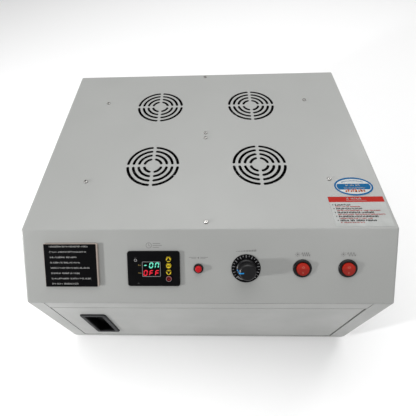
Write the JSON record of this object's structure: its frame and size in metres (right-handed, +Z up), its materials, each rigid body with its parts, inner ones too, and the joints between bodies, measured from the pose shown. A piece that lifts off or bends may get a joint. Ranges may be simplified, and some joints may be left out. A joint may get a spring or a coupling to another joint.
{
  "type": "uv resin curing cabinet",
  "caption": "Sheet-metal bench cabinet with sloped control panel, roof fan grilles, hinged front door and a lit curing chamber inside.",
  "frame": {"origin": "middle of the footprint, at the level the feet stand on", "axes": "+Z up, +X to the right seen from the door side, door facing -Y"},
  "size_m": [0.46, 0.404, 0.2516],
  "materials": {
    "casing_paint": "light warm grey powder coat, fine orange peel, semi-gloss",
    "chamber_steel": "brushed stainless sheet",
    "zinc_steel": "bright zinc plating",
    "screw_steel": "bright nickel-plated pan-head screws",
    "black_plastic": "black moulded plastic",
    "handle_plastic": "dark grey moulded plastic",
    "gloss_black": "glossy black moulded plastic",
    "red_plastic": "glossy red translucent plastic",
    "key_red": "red printed key with a grey ring",
    "key_yellow": "yellow printed key with a black symbol",
    "dial_print": "black disc with printed light ticks",
    "nameplate": "black plate with printed light dashes",
    "label": "white printed adhesive film",
    "display_lens": "dark tinted window over a lit segment display",
    "lamp_glass": "clear quartz sheet",
    "led_board": "white solder mask",
    "led_chip": "moulded emitter with clear dome",
    "aluminium": "plain extruded aluminium",
    "rubber": "black rubber",
    "nylon": "natural nylon"
  },
  "bodies": {
    "root": {"base_tray": "casing_paint", "button_body": "gloss_black", "button_nut": "zinc_steel", "catch_magnet": "black_plastic", "ceiling_plate": "chamber_steel", "chamber_floor": "chamber_steel", "chamber_liner": "chamber_steel", "dial_plate": "dial_print", "fan_frame_1": "black_plastic", "fan_frame_2": "black_plastic", "fan_frame_3": "black_plastic", "fan_frame_4": "black_plastic", "feet": "rubber", "heat_sink_front": "aluminium", "heat_sink_rear": "aluminium", "hinge_brackets": "zinc_steel", "hinge_pins": "zinc_steel", "label_oval": "label", "label_sheet": "label", "lamp_standoffs": "zinc_steel", "lamp_window_front": "lamp_glass", "lamp_window_rear": "lamp_glass", "led_board_front": "led_board", "led_board_rear": "led_board", "led_chips": "led_chip", "led_driver_left": "aluminium", "led_driver_right": "aluminium", "mains_inlet": "black_plastic", "nameplate": "nameplate", "pot_nut": "zinc_steel", "potentiometer": "black_plastic", "rear_panel": "casing_paint", "rear_screws": "screw_steel", "rocker_body_365": "gloss_black", "rocker_body_395": "gloss_black", "side_panel_left": "casing_paint", "side_panel_right": "casing_paint", "timer_body": "black_plastic", "timer_lens": "display_lens", "top_cover": "casing_paint", "top_screws": "screw_steel"},
    "door": {"door_panel": "casing_paint", "door_liner": "chamber_steel", "door_gasket": "rubber", "door_handle": "handle_plastic", "door_bushes": "nylon", "catch_plate": "zinc_steel"},
    "knob": {"knob": "gloss_black", "pot_shaft": "zinc_steel"},
    "button_cap": {"button_cap": "red_plastic"},
    "key_up": {"timer_key_up": "key_yellow"},
    "key_set": {"timer_key_set": "key_yellow"},
    "key_down": {"timer_key_down": "key_yellow"},
    "key_power": {"timer_key_power": "key_red"},
    "rocker_365": {"rocker_paddle_365": "red_plastic"},
    "rocker_395": {"rocker_paddle_395": "red_plastic"},
    "fan_1": {"fan_rotor_1": "black_plastic"},
    "fan_2": {"fan_rotor_2": "black_plastic"},
    "fan_3": {"fan_rotor_3": "black_plastic"},
    "fan_4": {"fan_rotor_4": "black_plastic"}
  },
  "joints": [
    {"name": "door_swing", "type": "hinge", "parent": "root", "child": "door", "pos_m": [0.1978, -0.195, 0.092], "axis": [0, 0, 1], "range_deg": [0, 105]},
    {"name": "knob_turn", "type": "hinge", "parent": "root", "child": "knob", "pos_m": [0.0484, -0.16745, 0.21626], "axis": [0, -0.6844, 0.7291], "range_deg": [-229, 41]},
    {"name": "button_press", "type": "slide", "parent": "root", "child": "button_cap", "axis": [0, 0.6844, -0.7291], "range_m": [0, 0.0025], "stiffness_N_per_m": 300},
    {"name": "key_up_press", "type": "slide", "parent": "root", "child": "key_up", "axis": [0, 0.6844, -0.7291], "range_m": [0, 0.0008], "stiffness_N_per_m": 500},
    {"name": "key_set_press", "type": "slide", "parent": "root", "child": "key_set", "axis": [0, 0.6844, -0.7291], "range_m": [0, 0.0008], "stiffness_N_per_m": 500},
    {"name": "key_down_press", "type": "slide", "parent": "root", "child": "key_down", "axis": [0, 0.6844, -0.7291], "range_m": [0, 0.0008], "stiffness_N_per_m": 500},
    {"name": "key_power_press", "type": "slide", "parent": "root", "child": "key_power", "axis": [0, 0.6844, -0.7291], "range_m": [0, 0.0008], "stiffness_N_per_m": 500},
    {"name": "rocker_365_tip", "type": "hinge", "parent": "root", "child": "rocker_365", "pos_m": [0.1166, -0.16745, 0.21626], "axis": [1, 0, 0], "range_deg": [-12, 0]},
    {"name": "rocker_395_tip", "type": "hinge", "parent": "root", "child": "rocker_395", "pos_m": [0.1711, -0.16745, 0.21626], "axis": [1, 0, 0], "range_deg": [-12, 0]},
    {"name": "fan_1_spin", "type": "hinge", "parent": "root", "child": "fan_1", "pos_m": [-0.0752, -0.0261, 0.235], "axis": [0, 0, 1], "continuous": true},
    {"name": "fan_2_spin", "type": "hinge", "parent": "root", "child": "fan_2", "pos_m": [0.0752, -0.0261, 0.235], "axis": [0, 0, 1], "continuous": true},
    {"name": "fan_3_spin", "type": "hinge", "parent": "root", "child": "fan_3", "pos_m": [-0.0752, 0.1071, 0.235], "axis": [0, 0, 1], "continuous": true},
    {"name": "fan_4_spin", "type": "hinge", "parent": "root", "child": "fan_4", "pos_m": [0.0752, 0.1071, 0.235], "axis": [0, 0, 1], "continuous": true}
  ]
}
